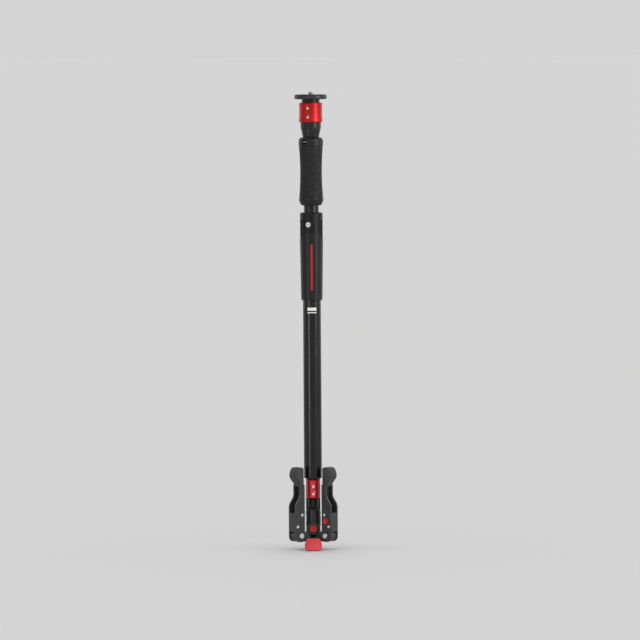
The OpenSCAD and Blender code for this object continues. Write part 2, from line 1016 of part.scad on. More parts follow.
module lock_plunger() {
  flange_r = cavity_r - 2;
  color(steel)
    rotate_extrude()
      polygon([
        [0, plunger_z], [plunger_d / 2, plunger_z], [plunger_d / 2, seat_z - plunger_flange_t],
        [flange_r, seat_z - plunger_flange_t], [flange_r, seat_z - fit_gap], [0, seat_z - fit_gap]
      ]);
}

module front_cap() {
  dome = 0.4;
  r = boss_d / 2 - cap_inset;
  color(black)
    boss(r, boss_front - cap_t + fit_gap, boss_front + dome);
}

// hub with three lugs, a slot for the pedal and room for the housing's boss

lug_w = foot_w - 2 * foot_wall - 2 * run_gap;
lug_drop = 1.5;
lug_sole = 0.4;
knuckle_r = 12.4;
knuckle_groove = 1;
knuckle_room = 0.6;
slot_top = plunger_z + 1;

// side view of a lug: an arm and a grooved knuckle, both cut off just above the hub's underside
module lug_side() {
  difference() {
    union() {
      translate([0, hub_lift])
        square([pivot_out, hub_h - lug_drop]);
      translate([pivot_out, pivot_z])
        circle(r = knuckle_r);
    }
    translate([-eps, hub_lift + lug_sole - knuckle_r])
      square([2 * pivot_out, knuckle_r]);
    translate([pivot_out + knuckle_r - 2 * knuckle_groove, pivot_z + pivot_rise / 3])
      square([knuckle_r, knuckle_groove]);
  }
}

module lug() {
  along_foot(lug_w)
    lug_side();
}

module base_hub() {
  slot_w = pedal_arm_w + 2 * run_gap + 0.6;
  slot_back = cam_y + cam_r + cam_offset + 1;
  head_d = hub_screw_d + 2.6;
  head_t = 3;
  color(black)
    difference() {
      union() {
        rotate_extrude()
          polygon([
            [0, hub_lift], [hub_d / 2 - 2 * edge, hub_lift], [hub_d / 2, hub_lift + 2 * edge],
            [hub_d / 2, hub_top - edge], [hub_d / 2 - edge, hub_top], [0, hub_top]
          ]);
        for (az = [left_az, right_az, rear_az])
          at_foot(az)
            lug();
      }
      for (az = [left_az, right_az, rear_az])
        at_foot(az)
          translate([pivot_out, 0, pivot_z])
            rotate([90, 0, 0])
              cylinder(d = bolt_d + 2 * shaft_gap, h = foot_w, center = true);
      translate([-slot_w / 2, -hub_d, hub_lift - eps])
        cube([slot_w, hub_d + slot_back, slot_top - hub_lift + eps]);
      ring(0, plunger_d / 2 + shaft_gap, plunger_z - 2 * edge, hub_top + eps);
      boss(boss_d / 2 + fit_gap, boss_back - fit_gap, hub_d);
      rod_x(pedal_pin_d / 2 + fit_gap, -hub_d / 2 + edge, hub_d / 2 - edge, pedal_pin_z);
      at_hub_screws()
        translate([0, 0, hub_lift - eps]) {
          cylinder(d = hub_screw_d + 2 * fit_gap, h = hub_h + 2 * eps);
          cylinder(d = head_d + 2 * fit_gap, h = head_t + eps);
        }
    }
}

module hub_screws() {
  head_d = hub_screw_d + 2.6;
  head_t = 3;
  sunk = 0.4;
  socket_d = 2.6;
  color(steel)
    at_hub_screws()
      difference() {
        union() {
          translate([0, 0, hub_lift + sunk])
            cylinder(d = head_d, h = head_t - sunk - fit_gap);
          translate([0, 0, hub_lift + sunk])
            cylinder(d = hub_screw_d, h = hub_h + 2);
        }
        translate([0, 0, hub_lift + sunk - eps])
          cylinder(d = socket_d, h = head_t / 2, $fn = 6);
      }
}

module pedal_pin() {
  color(steel)
    rod_x(pedal_pin_d / 2, -hub_d / 2 + 1.5 * edge, hub_d / 2 - 1.5 * edge, pedal_pin_z);
}

tongue_y = -28.5;
tongue_z = tongue_len * sin(tongue_slope) + tongue_t * cos(tongue_slope);

// plan of the tongue, its root at y = 0
module tongue_plan() {
  corner = 7;
  wide = 0.12;
  union() {
    polygon([
      [-tongue_root_w / 2, 0], [tongue_root_w / 2, 0], [tongue_w / 2, -wide * tongue_len],
      [tongue_w / 2, -tongue_len + corner], [-tongue_w / 2, -tongue_len + corner],
      [-tongue_w / 2, -wide * tongue_len]
    ]);
    translate([-tongue_w / 2 + corner, -tongue_len])
      square([tongue_w - 2 * corner, tongue_len / 2]);
    for (side = [-1, 1])
      translate([side * (tongue_w / 2 - corner), -tongue_len + corner])
        circle(r = corner);
  }
}

module lock_pedal() {
  color(pedal_red)
    difference() {
      union() {
        across(pedal_arm_w)
          union() {
            translate([cam_y, cam_z])
              circle(r = cam_r);
            translate([0, pedal_pin_z])
              circle(r = cam_r);
            polygon([
              [cam_y, pedal_pin_z - cam_r], [0, pedal_pin_z + cam_r - edge], [-5, pedal_pin_z + 4],
              [-11, pedal_pin_z + 1], [-17, pedal_pin_z - 2.5], [tongue_y, tongue_z - edge],
              [tongue_y - 4, tongue_z - tongue_t], [tongue_y - 3, tongue_z - 1.6 * tongue_t],
              [-14, pedal_pin_z - 8.5], [-6, pedal_pin_z - cam_r]
            ]);
          }
        translate([0, tongue_y, tongue_z])
          rotate([tongue_slope, 0, 0])
            translate([0, 0, -tongue_t])
              linear_extrude(height = tongue_t)
                tongue_plan();
      }
      rod_x(pedal_pin_d / 2 + shaft_gap, -hub_d, hub_d, pedal_pin_z);
    }
}

// feet, each drawn with its radius along X and its width along Y

heel_top = hub_lift + heel_h;
foot_top = hub_lift + foot_h;
web_t = 3;
web_z = pivot_z + 15;
heel_wall_t = 3.5;
heel_wall_in = heel_outer - heel_wall_t - pivot_out;
heel_wall_z = pivot_z + sqrt(max(1, pow(knuckle_r + knuckle_room, 2) - pow(heel_wall_in, 2)));
heel_wall_top = heel_top - 12;
heel_round = 10;
instep_round = 7;
button_u = (foot_inner + heel_outer) / 2 - 1.5;
button_z = pivot_z + 29.6;
button_w = 9;
button_h = 12.5;
button_press = 2;
tenon_h = 22;
tenon_half = 9;
tenon_u = foot_inner + 5;
tenon_t = 6;

// side view of a foot's walls, in (radius, z)
module foot_side() {
  steps = 12;
  slope = foot_top - 19 - heel_top;
  translate([foot_inner, hub_lift + heel_round])
    square([heel_outer - foot_inner, heel_h - heel_round]);
  translate([foot_inner + instep_round, hub_lift])
    square([heel_outer - foot_inner - instep_round - heel_round, heel_round + eps]);
  translate([heel_outer - heel_round, hub_lift + heel_round])
    circle(r = heel_round);
  translate([foot_inner + instep_round, hub_lift + instep_round])
    circle(r = instep_round);
  translate([foot_inner, hub_lift + instep_round])
    square([instep_round, heel_round]);
  polygon(concat(
    [[foot_inner, heel_top - eps], [heel_outer, heel_top - eps]],
    [for (i = [0 : steps])
      let (t = i / steps)
        [waist_outer + (heel_outer - waist_outer) * (1 + cos(180 * t)) / 2, heel_top + slope * t]],
    [[waist_outer, foot_top], [foot_inner, foot_top]]
  ));
}

module button_plan(grow) {
  r = button_w / 2 + grow;
  half = button_h / 2 - button_w / 2;
  for (side = [-1, 1])
    translate([button_u, button_z + side * half])
      circle(r = r);
  translate([button_u - r, button_z - half])
    square([2 * r, 2 * half]);
}

function screw_places() = [[foot_inner + 6.6, pivot_z + 42], [heel_outer - 4.4, pivot_z + 18.6]];

module at_foot_screws() {
  for (place = screw_places())
    mirrored_y()
      translate([place[0], foot_w / 2, place[1]])
        rotate([-90, 0, 0])
          children();
}

foot_screw_d = 3;
foot_screw_len = 3;

module arm(az) {
  color(black)
    at_foot(az)
      difference() {
        union() {
          mirrored_y()
            translate([0, foot_w / 2 - foot_wall / 2, 0])
              along_foot(foot_wall)
                foot_side();
          translate([foot_inner, -foot_w / 2 + eps, web_z])
            cube([web_t, foot_w - 2 * eps, foot_top - web_z]);
          translate([heel_outer - heel_wall_t, -foot_w / 2 + eps, heel_wall_z])
            cube([heel_wall_t, foot_w - 2 * eps, heel_wall_top - heel_wall_z]);
          translate([foot_inner, -foot_w / 2 + eps, foot_top - web_t])
            cube([waist_outer - foot_inner, foot_w - 2 * eps, web_t]);
          translate([tenon_u, -tenon_half, foot_top - eps])
            cube([tenon_t, 2 * tenon_half, tenon_h + eps]);
        }
        translate([pivot_out, 0, pivot_z])
          rotate([90, 0, 0])
            cylinder(d = bolt_d + 2 * fit_gap, h = 2 * foot_w, center = true);
        translate([0, -foot_w / 2, 0])
          along_foot(2 * foot_wall + eps)
            button_plan(run_gap);
        at_foot_screws()
          translate([0, 0, -foot_screw_len - fit_gap])
            cylinder(d = foot_screw_d + 2 * fit_gap, h = foot_screw_len + eps);
      }
}

pad_inner = foot_inner + 0.5;
pad_half = foot_w / 2 - 0.2;

// side view of a pad: a round toe above a sloping sole
module pad_side() {
  steps = 8;
  toe = pad_outer - waist_outer - 1;
  toe_h = 0.5 * pad_h;
  polygon(concat(
    [[pad_inner, foot_top], [waist_outer - 0.4, foot_top], [pad_outer - 1.2, foot_top + 0.39 * pad_h]],
    [for (i = [0 : steps])
      let (a = 90 * i / steps)
        [pad_outer - toe + toe * cos(a), foot_top + pad_h - toe_h + toe_h * sin(a)]],
    [[pad_inner + 1, foot_top + pad_h], [pad_inner, foot_top + pad_h - 1]]
  ));
}

module pad(az) {
  corner = 4;
  plan_w = pad_outer - pad_inner + corner;
  color(rubber_black)
    at_foot(az)
      difference() {
        intersection() {
          along_foot(foot_w)
            pad_side();
          translate([0, 0, foot_top - eps])
            linear_extrude(height = pad_h + 2 * eps)
              union() {
                translate([pad_inner + corner, -pad_half])
                  square([plan_w - 2 * corner, 2 * pad_half]);
                translate([pad_inner, -pad_half + corner])
                  square([plan_w, 2 * (pad_half - corner)]);
                for (side = [-1, 1], u = [corner, plan_w - corner])
                  translate([pad_inner + u, side * (pad_half - corner)])
                    circle(r = corner);
              }
        }
        translate([tenon_u - fit_gap, -tenon_half - fit_gap, foot_top - eps])
          cube([tenon_t + 2 * fit_gap, 2 * (tenon_half + fit_gap), tenon_h + eps + fit_gap]);
      }
}

module bolt(az) {
  head_t = 1.9;
  socket_d = 5;
  color(steel)
    at_foot(az)
      translate([pivot_out, 0, pivot_z])
        rotate([90, 0, 0])
          difference() {
            union() {
              cylinder(d = bolt_d, h = foot_w + 2 * head_t, center = true);
              for (side = [0, 1])
                mirror([0, 0, side])
                  translate([0, 0, foot_w / 2 + fit_gap])
                    rotate_extrude()
                      polygon([
                        [0, 0], [bolt_head_d / 2, 0], [bolt_head_d / 2, head_t - edge / 2],
                        [bolt_head_d / 2 - edge / 2, head_t], [0, head_t]
                      ]);
            }
            for (side = [0, 1])
              mirror([0, 0, side])
                translate([0, 0, foot_w / 2 + head_t / 2])
                  cylinder(d = socket_d, h = head_t, $fn = 6);
          }
}

module screws(az) {
  head_t = 1;
  slot = 0.5;
  color(steel)
    at_foot(az)
      at_foot_screws()
        difference() {
          union() {
            translate([0, 0, -foot_screw_len])
              cylinder(d = foot_screw_d, h = foot_screw_len + fit_gap + eps);
            translate([0, 0, fit_gap])
              cylinder(d = screw_head_d, h = head_t);
          }
          translate([0, 0, fit_gap + slot])
            cylinder(d = screw_head_d / 2, h = head_t, $fn = 6);
        }
}

button_proud = 1;
button_flange = 1.4;
button_lip = 0.9;
inner_wall = foot_w / 2 - foot_wall;

module button(az) {
  button_deep = button_proud + foot_wall + button_flange;
  stem_d = 3;
  stem_h = 3;
  color(red)
    at_foot(az) {
      translate([0, -foot_w / 2 - button_proud + button_deep / 2, 0])
        along_foot(button_deep)
          button_plan(0);
      translate([0, -inner_wall + fit_gap + button_flange / 2, 0])
        along_foot(button_flange)
          button_plan(button_lip);
      translate([button_u, -inner_wall + fit_gap, button_z])
        rotate([-90, 0, 0])
          cylinder(d = stem_d, h = button_flange + stem_h);
    }
}

module button_spring(az) {
  z0 = -inner_wall + fit_gap + button_flange + fit_gap;
  color(steel)
    at_foot(az)
      translate([button_u, z0, button_z])
        rotate([-90, 0, 0])
          coil(7, inner_wall - fit_gap - z0, 2.6, 0.8);
}

// the three feet

module left_arm() arm(left_az);
module left_pad() pad(left_az);
module left_bolt() bolt(left_az);
module left_screws() screws(left_az);
module left_button() button(left_az);
module left_spring() button_spring(left_az);
module right_arm() arm(right_az);
module right_pad() pad(right_az);
module right_bolt() bolt(right_az);
module right_screws() screws(right_az);
module right_button() button(right_az);
module right_spring() button_spring(right_az);
module rear_arm() arm(rear_az);
module rear_pad() pad(rear_az);
module rear_bolt() bolt(rear_az);
module rear_screws() screws(rear_az);
module rear_button() button(rear_az);
module rear_spring() button_spring(rear_az);

camera_screw();
plate_facing();
camera_plate();
head_spigot();
head_collar();
head_socket();
head_lock_balls();
head_clip();
head_spring();
grip_top_ring();
strap_bar();
grip_sleeve();
grip_bottom_ring();
upper_tube();
slide_bush();
upper_plug();
clamp_collar();
clamp_bush();
clamp_screw();
brake_shoes();
lever_pins();
lock_lever();
lower_tube();
base_socket();
base_lock_balls();
base_clip();
base_spring();
base_collar();
pan_hub();
pan_screw();
pan_washer();
ball_stem();
ball_housing();
ball_retainer();
ball_seat();
lock_plunger();
front_cap();
base_hub();
hub_screws();
pedal_pin();
lock_pedal();
left_arm();
left_pad();
left_bolt();
left_screws();
left_button();
left_spring();
right_arm();
right_pad();
right_bolt();
right_screws();
right_button();
right_spring();
rear_arm();
rear_pad();
rear_bolt();
rear_screws();
rear_button();
rear_spring();
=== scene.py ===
import json
import math
import bpy
from mathutils import Matrix, Vector


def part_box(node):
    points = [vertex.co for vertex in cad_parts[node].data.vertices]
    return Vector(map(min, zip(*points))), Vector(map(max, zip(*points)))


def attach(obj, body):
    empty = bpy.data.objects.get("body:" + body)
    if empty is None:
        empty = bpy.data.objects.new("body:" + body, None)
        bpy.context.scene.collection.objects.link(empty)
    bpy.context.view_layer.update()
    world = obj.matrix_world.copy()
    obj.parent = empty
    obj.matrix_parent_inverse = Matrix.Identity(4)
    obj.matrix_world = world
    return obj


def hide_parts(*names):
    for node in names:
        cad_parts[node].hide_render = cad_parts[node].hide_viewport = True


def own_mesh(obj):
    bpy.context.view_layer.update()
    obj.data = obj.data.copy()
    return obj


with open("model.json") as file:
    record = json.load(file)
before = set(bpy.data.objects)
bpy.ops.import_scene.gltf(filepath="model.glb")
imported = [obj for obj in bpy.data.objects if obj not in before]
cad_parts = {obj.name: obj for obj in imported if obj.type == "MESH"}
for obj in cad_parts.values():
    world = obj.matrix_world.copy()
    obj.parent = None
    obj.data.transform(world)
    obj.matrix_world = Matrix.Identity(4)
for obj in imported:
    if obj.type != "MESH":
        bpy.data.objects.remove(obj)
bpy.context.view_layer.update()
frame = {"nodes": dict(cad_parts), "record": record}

MM = 0.001

# vertices closer than this are one, edges that turn by fewer degrees than this are shaded smooth, and a face
# looks in a direction if its normal's cosine with it is above this
MERGED = 1e-6
SMOOTH_ANGLE = 35.0
FACING = 0.99

# the photograph: its side, the size of a pixel at the column, and where the column stands in it
PHOTO_SIDE = 640
PIXEL = 2.0 * MM
AXIS_PX = 312.0
GROUND_PX = 549.65
COLUMN_LEAN = math.radians(0.37)

# the camera: how far back and how high it stands, in metres, and its sensor's width in millimetres
CAMERA_BACK = 12.0
CAMERA_HEIGHT = 1.0
SENSOR = 36.0

# the sides of the floor and of the face in its middle, in metres, and its look
FLOOR_SIDE = 1600.0
FLOOR_MIDDLE = 16.0
FLOOR_TONES = ((0.88, 0.88, 0.88, 1), (0.92, 0.92, 0.915, 1))
FLOOR_GRAIN = 90.0
FLOOR_ROUGHNESS = 0.75

# the light from all round, at the horizon, where it equals the far floor, and overhead
SKY_LOW = 0.66
SKY_HIGH = 0.77

# the softboxes: name, direction in degrees with 0 in front and plus to the right, then distance, height,
# width and length in metres, and power in watts
LAMPS = (("strip_left", -40, 1.6, 0.33, 0.2, 0.58, 3.5),
         ("strip_right", 54, 3.4, 1.62, 1.2, 2.4, 86),
         ("fill_front", 0, 6.0, 3.2, 3.6, 2.0, 34),
         ("rim_left", -128, 3.2, 1.5, 0.5, 2.6, 13),
         ("rim_right", 128, 3.2, 1.5, 0.5, 2.6, 13))
LAMP_TARGET = (0, 0, 0.46)

# sizes that the looks share with the solids
GRIP_WAIST_R = 21.6 * MM
SLEEVE_BORE_R = 15.05 * MM
STUD_R = 4.76 * MM
STUD_SHANK_R = 5.36 * MM
STUD_PITCH = 1.5875 * MM
TONGUE_ROOT = (0.0, -28.5 * MM, 25.04 * MM)
TONGUE_SLOPE = math.radians(40)
TONGUE_LENGTH = 33.0 * MM
TONGUE_WIDTH = 34.5 * MM
TONGUE_THICK = 5.0 * MM
PEDAL_ARM_WIDTH = 10.0 * MM
FOOT_TURNS = {"left": math.radians(120), "right": math.radians(-120)}

# what lies beyond this radius on the grip sleeve is its outside
SLEEVE_OUTSIDE_R = 18.0 * MM


# selection and finishing

def deselect():
    if bpy.context.mode != "OBJECT":
        bpy.ops.object.mode_set(mode="OBJECT")
    bpy.ops.object.select_all(action="DESELECT")


def begin(name):
    """Names the primitive that was just added, puts its place into its mesh and opens it for editing."""
    piece = bpy.context.object
    piece.name = name
    bpy.ops.object.transform_apply(location=True, rotation=True, scale=True)
    bpy.ops.object.mode_set(mode="EDIT")
    return piece


def pick(piece, kind, test):
    """Selects in edit mode only the vertices, edges or faces whose element passes the test."""
    bpy.ops.mesh.select_mode(type=kind)
    bpy.ops.mesh.select_all(action="DESELECT")
    bpy.ops.object.mode_set(mode="OBJECT")
    mesh = piece.data
    elements = {"VERT": mesh.vertices, "EDGE": mesh.edges, "FACE": mesh.polygons}[kind]
    for element in elements:
        element.select = test(element)
    bpy.ops.object.mode_set(mode="EDIT")


def merge(threshold=MERGED):
    bpy.ops.mesh.select_all(action="SELECT")
    bpy.ops.mesh.remove_doubles(threshold=threshold)


def outward_faces():
    bpy.ops.mesh.select_all(action="SELECT")
    bpy.ops.mesh.normals_make_consistent(inside=False)


def close(piece, smooth_angle=SMOOTH_ANGLE):
    """Leaves edit mode with the faces pointing outwards and only sharp edges unsmoothed."""
    outward_faces()
    bpy.ops.object.mode_set(mode="OBJECT")
    bpy.ops.object.shade_smooth_by_angle(angle=math.radians(smooth_angle))
    return piece


def apply_modifier(piece, kind, **values):
    modifier = piece.modifiers.new(kind.lower(), kind)
    for name, value in values.items():
        setattr(modifier, name, value)
    deselect()
    piece.select_set(True)
    bpy.context.view_layer.objects.active = piece
    bpy.ops.object.modifier_apply(modifier=modifier.name)


def round_edges(piece, width, segments=3, above=32.0):
    apply_modifier(piece, "BEVEL", width=width, segments=segments, limit_method="ANGLE",
                   angle_limit=math.radians(above), use_clamp_overlap=True)
    bpy.ops.object.shade_smooth_by_angle(angle=math.radians(SMOOTH_ANGLE))


def place(piece, material, body, slot, *nodes):
    """Gives a finished piece its finish and the body it moves with, and hides the nodes that it stands for.
    """
    piece.data.materials.clear()
    piece.data.materials.append(material)
    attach(piece, body)
    if nodes:
        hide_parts(*nodes)


def turned(name, outline, around=128, hollow=True):
    """A turned piece: a circle drawn out from point to point of an outline of (radius, height).

    A hollow piece's outline comes back to its first point, and a solid one is capped at both ends."""
    deselect()
    radius, height = outline[0]
    bpy.ops.mesh.primitive_circle_add(vertices=around, radius=radius, location=(0, 0, height),
                                      fill_type="NOTHING" if hollow else "NGON")
    piece = begin(name)
    bpy.ops.mesh.select_all(action="SELECT")
    for (r0, z0), (r1, z1) in zip(outline, outline[1:]):
        bpy.ops.mesh.extrude_region_move(TRANSFORM_OT_translate={"value": (0, 0, z1 - z0)})
        if r1 != r0:
            bpy.ops.transform.resize(value=(r1 / r0, r1 / r0, 1), center_override=(0, 0, z1))
    merge()
    return close(piece)


def copied(node, name):
    """A copy of a node's mesh under its own name, open for editing, its triangles joined to whole faces."""
    deselect()
    source = frame["nodes"][node]
    piece = source.copy()
    piece.data = source.data.copy()
    piece.name = name
    piece.parent = None
    for key in list(piece.keys()):
        del piece[key]
    bpy.context.scene.collection.objects.link(piece)
    piece.hide_viewport = piece.hide_render = False
    piece.hide_set(False)
    piece.select_set(True)
    bpy.context.view_layer.objects.active = piece
    bpy.ops.mesh.customdata_custom_splitnormals_clear()
    bpy.ops.object.mode_set(mode="EDIT")
    merge(2 * MERGED)
    bpy.ops.mesh.dissolve_limited(angle_limit=math.radians(0.5))
    return piece


def drawn(name, points):
    """A chain of edges from point to point, begun at one corner of a plane."""
    deselect()
    bpy.ops.mesh.primitive_plane_add(size=2 * MM)
    piece = begin(name)
    pick(piece, "VERT", lambda v: v.index > 0)
    bpy.ops.mesh.delete(type="VERT")
    bpy.ops.mesh.select_all(action="SELECT")
    bpy.ops.transform.translate(value=Vector(points[0]) - Vector((-MM, -MM, 0)))
    for here, there in zip(points, points[1:]):
        bpy.ops.mesh.extrude_vertices_move(TRANSFORM_OT_translate={"value": Vector(there) - Vector(here)})
    bpy.ops.object.mode_set(mode="OBJECT")
    return piece


def rounded_corners(corners, steps=8):
    """The points of a closed outline, drawn round each of its corners (across, along, radius)."""
    points = []
    for before, corner, after in zip(corners[-1:] + corners[:-1], corners, corners[1:] + corners[:1]):
        at = Vector(corner[:2])
        back = (Vector(before[:2]) - at).normalized()
        on = (Vector(after[:2]) - at).normalized()
        half_angle = back.angle(on) / 2
        middle = at + (back + on).normalized() * corner[2] / math.sin(half_angle)
        reach = corner[2] / math.tan(half_angle)
        first, last = at + back * reach - middle, at + on * reach - middle
        points += [middle + first.slerp(last, step / steps) * corner[2] for step in range(steps + 1)]
    return points


def cut_off(at, direction):
    """Removes what lies beyond a plane, on the side that the direction points to, and closes the cut."""
    bpy.ops.mesh.select_all(action="SELECT")
    bpy.ops.mesh.bisect(plane_co=at, plane_no=direction, use_fill=True, clear_outer=True, threshold=1e-7)


def turned_copy(piece, name, angle):
    """A copy of a finished piece with its own mesh, turned round the column."""
    deselect()
    other = piece.copy()
    other.data = piece.data.copy()
    other.name = name
    bpy.context.scene.collection.objects.link(other)
    other.data.transform(Matrix.Rotation(angle, 4, "Z"))
    return other


# shader nodes

def add(tree, kind, inputs=None, **settings):
    """A node with its settings; an input given as another node's socket is linked, else it is a value."""
    made = tree.nodes.new(kind)
    for name, value in settings.items():
        setattr(made, name, value)
    for name, value in (inputs or {}).items():
        if isinstance(value, bpy.types.NodeSocket):
            tree.links.new(value, made.inputs[name])
        else:
            made.inputs[name].default_value = value
    return made


def maths(tree, operation, a, b):
    return add(tree, "ShaderNodeMath", {0: a, 1: b}, operation=operation).outputs[0]


def distance_from(tree, value, middle):
    return maths(tree, "ABSOLUTE", maths(tree, "SUBTRACT", value, middle), 0.0)


def ramp(tree, value, start, end):
    """0 to 1 as the value goes from start to end."""
    return add(tree, "ShaderNodeMapRange", {"Value": value, "From Min": start, "From Max": end}).outputs[0]


def inked(tree, outside):
    """1 where the distance outside a mark is below 0, with an edge as soft as screen print."""
    blur = 0.06 * MM
    return ramp(tree, outside, blur, -blur)


def object_coords(tree):
    return add(tree, "ShaderNodeTexCoord").outputs["Object"]


def noise(tree, coords, scale, detail, roughness=0.5):
    return add(tree, "ShaderNodeTexNoise", {"Vector": coords, "Scale": scale, "Detail": detail,
                                            "Roughness": roughness}).outputs[0]


def between(tree, factor, low, high):
    """Low to high as the factor goes from 0 to 1."""
    return add(tree, "ShaderNodeMapRange", {"Value": factor, "To Min": low, "To Max": high}).outputs[0]


def blended(tree, factor, a, b):
    mix = add(tree, "ShaderNodeMix", data_type="RGBA")
    for label, value in (("Factor", factor), ("A", a), ("B", b)):
        socket = [s for s in mix.inputs if s.name == label and s.enabled][0]
        if isinstance(value, bpy.types.NodeSocket):
            tree.links.new(value, socket)
        else:
            socket.default_value = value
    return [s for s in mix.outputs if s.enabled][0]


def new_group(name, inputs, outputs):
    tree = bpy.data.node_groups.new(name, "ShaderNodeTree")
    for label, value in inputs:
        socket = tree.interface.new_socket(label, in_out="INPUT", socket_type="NodeSocketFloat")
        socket.default_value = value
    for label, kind in outputs:
        tree.interface.new_socket(label, in_out="OUTPUT", socket_type=kind)
    return tree, tree.nodes.new("NodeGroupInput").outputs, tree.nodes.new("NodeGroupOutput").inputs


# camera, floor and light

def make_camera():
    """The photograph's view, with the column where it stands there and leaning as it does."""
    middle = PHOTO_SIDE / 2
    aim = Vector(((middle - AXIS_PX) * PIXEL, 0, (GROUND_PX - middle) * PIXEL))
    at = Vector((aim.x, -CAMERA_BACK, CAMERA_HEIGHT))
    down = math.atan2(at.z - aim.z, CAMERA_BACK)
    turn = Matrix.Rotation(math.pi / 2 - down, 3, "X") @ Matrix.Rotation(-COLUMN_LEAN, 3, "Z")
    deselect()
    bpy.ops.object.camera_add(location=at, rotation=turn.to_euler())
    camera = bpy.context.object
    camera.data.sensor_width = SENSOR
    camera.data.lens = SENSOR * (aim - at).length / (PHOTO_SIDE * PIXEL)
    camera.data.clip_end = FLOOR_SIDE
    bpy.context.scene.camera = camera


def make_floor(material):
    """A pale floor that reaches to the horizon on every side, with a small middle face under the object."""
    deselect()
    bpy.ops.mesh.primitive_plane_add(size=FLOOR_SIDE)
    floor = begin("floor")
    bpy.ops.mesh.select_all(action="SELECT")
    bpy.ops.mesh.inset(thickness=(FLOOR_SIDE - FLOOR_MIDDLE) / 2, depth=0)
    bpy.ops.object.mode_set(mode="OBJECT")
    floor.data.materials.append(material)
    return floor


def soft_light(name, direction, distance, height, width, length, watts):
    """A softbox that looks at the middle of the column."""
    a = math.radians(direction)
    at = Vector((distance * math.sin(a), -distance * math.cos(a), height))
    aim = Vector(LAMP_TARGET) - at
    deselect()
    bpy.ops.object.light_add(type="AREA", location=at)
    light = bpy.context.object
    light.name = name
    light.rotation_euler = aim.to_track_quat("-Z", "Y").to_euler()
    light.data.shape = "RECTANGLE"
    light.data.size = width
    light.data.size_y = length
    light.data.energy = watts
    return light


def make_light(floor):
    """Softboxes that light the object alone, so that the floor has the even light from all round."""
    lamps = [soft_light(*lamp) for lamp in LAMPS]
    unlit = bpy.data.collections.new("not lit by the lamps")
    unlit.objects.link(floor)
    for lamp in lamps:
        lamp.light_linking.receiver_collection = unlit
    unlit.collection_objects[0].light_linking.link_state = "EXCLUDE"
    world = bpy.data.worlds.new("studio")
    world.use_nodes = True
    tree = world.node_tree
    direction = add(tree, "ShaderNodeTexCoord").outputs["Generated"]
    upward = add(tree, "ShaderNodeSeparateXYZ", {0: direction}).outputs["Z"]
    backdrop = tree.nodes["Background"]
    backdrop.inputs["Color"].default_value = (1.0, 1.0, 1.0, 1)
    tree.links.new(between(tree, upward, SKY_LOW, SKY_HIGH), backdrop.inputs["Strength"])
    bpy.context.scene.world = world
    bpy.context.scene.view_settings.view_transform = "Standard"


# effects that several finishes share

# how far the normal turns, as a cosine, where wear begins and where it is full, and the span of the noise
# that breaks it up
WEAR_COSINES = (0.985, 0.9)
WEAR_PATCHES = (0.42, 0.62)

# the span that most of a noise lies in
NOISE_SPAN = (0.35, 0.65)


def make_edge_group():
    """Where an edge lies, broken up as handling does it, and the normal of a rounded edge."""
    tree, given, put = new_group("edge wear", [("Reach", 0.5 * MM)],
                                 [("Mask", "NodeSocketFloat"), ("Normal", "NodeSocketVector")])
    rounded = add(tree, "ShaderNodeBevel", {"Radius": given["Reach"]}, samples=4)
    here = add(tree, "ShaderNodeNewGeometry")
    same = add(tree, "ShaderNodeVectorMath", {0: rounded.outputs[0], 1: here.outputs["Normal"]},
               operation="DOT_PRODUCT").outputs["Value"]
    edge = ramp(tree, same, *WEAR_COSINES)
    patches = noise(tree, object_coords(tree), 160.0, 4.0)
    broken = ramp(tree, patches, *WEAR_PATCHES)
    tree.links.new(maths(tree, "MULTIPLY", edge, broken), put["Mask"])
    tree.links.new(rounded.outputs[0], put["Normal"])
    return tree


def make_grain_group():
    """Fine grain of a moulded or blasted surface, and the slow change of tone over it."""
    tree, given, put = new_group("fine grain", [("Scale", 1500.0)],
                                 [("Height", "NodeSocketFloat"), ("Tone", "NodeSocketFloat")])
    coords = object_coords(tree)
    tree.links.new(noise(tree, coords, given["Scale"], 3.0), put["Height"])
    tree.links.new(ramp(tree, noise(tree, coords, 45.0, 5.0, 0.6), *NOISE_SPAN), put["Tone"])
    return tree


def make_machined_group():
    """Marks of drawing or turning: noise drawn out along the axis or round it, by the two scales."""
    tree, given, put = new_group("machined marks", [("Across", 900.0), ("Along", 6.0)],
                                 [("Height", "NodeSocketFloat"), ("Tone", "NodeSocketFloat")])
    coords = object_coords(tree)
    scales = add(tree, "ShaderNodeCombineXYZ", {0: given["Across"], 1: given["Across"], 2: given["Along"]})
    stretched = add(tree, "ShaderNodeVectorMath", {0: coords, 1: scales.outputs[0]}, operation="MULTIPLY")
    tree.links.new(noise(tree, stretched.outputs[0], 1.0, 4.0), put["Height"])
    tree.links.new(ramp(tree, noise(tree, coords, 22.0, 4.0), *NOISE_SPAN), put["Tone"])
    return tree


def make_bar_group():
    """A plain printed bar on the front: its middle across and up, and half its width and height."""
    tree, given, put = new_group("printed bar", [("Across", 0.0), ("Up", 0.0),
                                                  ("Half width", MM), ("Half height", MM)],
                                 [("Mask", "NodeSocketFloat")])
    x, y, z = add(tree, "ShaderNodeSeparateXYZ", {0: object_coords(tree)}).outputs
    beside = maths(tree, "SUBTRACT", distance_from(tree, x, given["Across"]), given["Half width"])
    above = maths(tree, "SUBTRACT", distance_from(tree, z, given["Up"]), given["Half height"])
    outside = maths(tree, "MAXIMUM", maths(tree, "MAXIMUM", beside, above), y)
    tree.links.new(inked(tree, outside), put["Mask"])
    return tree


